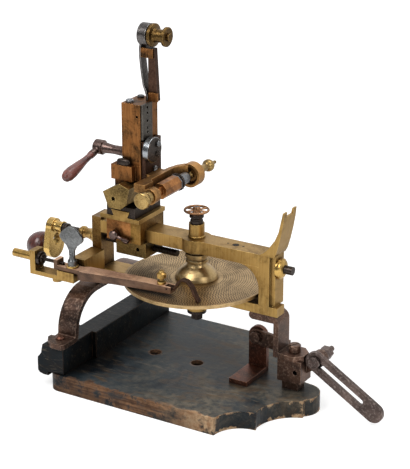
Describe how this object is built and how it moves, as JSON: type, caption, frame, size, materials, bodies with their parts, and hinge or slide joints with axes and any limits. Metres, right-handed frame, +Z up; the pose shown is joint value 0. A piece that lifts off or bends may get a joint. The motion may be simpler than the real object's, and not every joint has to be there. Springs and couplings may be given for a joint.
{
  "type": "wheel cutting engine",
  "caption": "Bench wheel cutting engine: a brass frame holds a dividing plate and arbor below a leadscrew carriage with a lever-fed cutter slide, on a worn painted board.",
  "frame": {"origin": "on the arbor axis at the board's underside, at the mouth of the bench bolt hole there", "axes": "+X along the frame bars towards the board's rounded nose, +Y to the back, +Z up along the arbor"},
  "size_m": [0.5785, 0.27, 0.5052],
  "materials": {
    "paint": "worn blue-black paint over wood",
    "iron": "brown patinated wrought iron",
    "dark_steel": "blackened steel",
    "brass": "old brass with a golden brown tarnish",
    "bright_brass": "bright turned brass",
    "bronze": "reddish bronze",
    "steel": "worn grey steel",
    "wood": "polished dark hardwood"
  },
  "bodies": {
    "frame": {"base_board": "paint", "end_cleat": "paint", "arch_leg": "iron", "leg_screws": "iron", "right_leg": "iron", "leg_block": "iron", "block_screw": "iron", "foot_bracket": "iron", "leg_brace": "iron", "stay_bolt": "iron", "left_post": "brass", "top_bar": "brass", "right_post": "brass", "bottom_bar": "brass", "horn": "brass", "dome_washer": "bright_brass", "horn_bolt": "dark_steel", "arbor_bush": "brass", "pivot_screw": "dark_steel", "screw_trumpet": "bright_brass", "index_bracket": "brass"},
    "arbor": {"dividing_plate": "brass", "pedestal": "brass", "spindle": "steel", "clamp_nut": "dark_steel"},
    "hand_wheel": {"hand_wheel": "bronze"},
    "leadscrew": {"leadscrew": "dark_steel", "crank_arm": "bright_brass"},
    "crank_knob": {"crank_knob": "wood"},
    "carriage": {"saddle": "bronze", "saddle_plate": "brass", "keeper": "bronze"},
    "clamp_lever": {"clamp_lever": "dark_steel"},
    "cross_slide": {"cross_base": "dark_steel", "cross_block": "brass", "tower_foot": "bronze", "tower_body": "bronze", "slide_strip": "steel", "arm_blocks": "bronze", "arm_strap": "dark_steel", "arm_spring": "steel", "idler_axle": "dark_steel"},
    "idler": {"idler_pulley": "bright_brass"},
    "cutter_slide": {"slide_plate": "dark_steel", "slide_disc": "steel", "slide_rack": "steel", "yoke": "bronze"},
    "front_centre": {"front_centre": "bright_brass"},
    "rear_centre": {"rear_centre": "bright_brass"},
    "cutter_spindle": {"cutter_arbor": "steel", "cutter": "dark_steel"},
    "feed_lever": {"feed_lever": "dark_steel", "lever_grip": "wood", "feed_pinion": "steel"},
    "micrometer": {"micrometer_screw": "bright_brass"},
    "index_arm": {"index_arm": "bronze", "thumb_screw": "bright_brass"},
    "index_point": {"index_point": "steel"},
    "wing_screw": {"wing_screw": "steel"},
    "stay": {"stay": "iron"}
  },
  "joints": [
    {"name": "plate_spin", "type": "hinge", "parent": "frame", "child": "arbor", "pos_m": [0, 0, 0.157], "axis": [0, 0, 1], "continuous": true},
    {"name": "wheel_turn", "type": "hinge", "parent": "arbor", "child": "hand_wheel", "pos_m": [0, 0, 0.2562], "axis": [0, 0, 1], "range_deg": [-90, 360]},
    {"name": "leadscrew_turn", "type": "hinge", "parent": "frame", "child": "leadscrew", "pos_m": [-0.2, 0, 0.186], "axis": [1, 0, 0], "range_deg": [-361, 721]},
    {"name": "knob_spin", "type": "hinge", "parent": "leadscrew", "child": "crank_knob", "pos_m": [-0.265, 0, 0.15], "axis": [1, 0, 0], "continuous": true},
    {"name": "carriage_feed", "type": "slide", "parent": "frame", "child": "carriage", "axis": [1, 0, 0], "range_m": [-0.01, 0.02]},
    {"name": "clamp_turn", "type": "hinge", "parent": "carriage", "child": "clamp_lever", "pos_m": [-0.113, -0.035, 0.2085], "axis": [0, 1, 0], "range_deg": [-55, 60]},
    {"name": "cross_feed", "type": "slide", "parent": "carriage", "child": "cross_slide", "axis": [0, 1, 0], "range_m": [-0.006, 0.006]},
    {"name": "idler_spin", "type": "hinge", "parent": "cross_slide", "child": "idler", "pos_m": [-0.063, 0.01, 0.4892], "axis": [1, 0, 0], "continuous": true},
    {"name": "cutter_feed", "type": "slide", "parent": "cross_slide", "child": "cutter_slide", "axis": [0, 0, 1], "range_m": [-0.04, 0]},
    {"name": "lever_turn", "type": "hinge", "parent": "cross_slide", "child": "feed_lever", "pos_m": [-0.12, 0, 0.3202], "axis": [1, 0, 0], "range_deg": [-1, 210]},
    {"name": "front_centre_turn", "type": "hinge", "parent": "cutter_slide", "child": "front_centre", "pos_m": [-0.032, 0, 0.2902], "axis": [0, 1, 0], "range_deg": [-180, 180]},
    {"name": "rear_centre_turn", "type": "hinge", "parent": "cutter_slide", "child": "rear_centre", "pos_m": [-0.032, 0, 0.2902], "axis": [0, 1, 0], "range_deg": [-180, 180]},
    {"name": "cutter_spin", "type": "hinge", "parent": "cutter_slide", "child": "cutter_spindle", "pos_m": [-0.032, 0, 0.2902], "axis": [0, 1, 0], "continuous": true},
    {"name": "micrometer_turn", "type": "hinge", "parent": "frame", "child": "micrometer", "pos_m": [-0.21, -0.075, 0.167], "axis": [1, 0, 0], "range_deg": [-451, 451]},
    {"name": "index_slide", "type": "slide", "parent": "frame", "child": "index_arm", "axis": [1, 0, 0], "range_m": [-0.005, 0.005]},
    {"name": "point_lift", "type": "hinge", "parent": "index_arm", "child": "index_point", "pos_m": [0.002, -0.075, 0.169], "axis": [0, -1, 0], "range_deg": [0, 15]},
    {"name": "wing_turn", "type": "hinge", "parent": "frame", "child": "wing_screw", "pos_m": [-0.1575, -0.075, 0.17], "axis": [0, 0, 1], "range_deg": [-90, 90]},
    {"name": "stay_swing", "type": "hinge", "parent": "frame", "child": "stay", "pos_m": [0.187, 0.002, 0.073], "axis": [0, -1, 0], "range_deg": [0, 75]}
  ],
  "couplings": [
    {"joint": "leadscrew_turn", "follows": "carriage_feed", "rad_per_m": 628.32},
    {"joint": "lever_turn", "follows": "cutter_feed", "rad_per_m": -90.909},
    {"joint": "micrometer_turn", "follows": "index_slide", "rad_per_m": 1570.8}
  ]
}
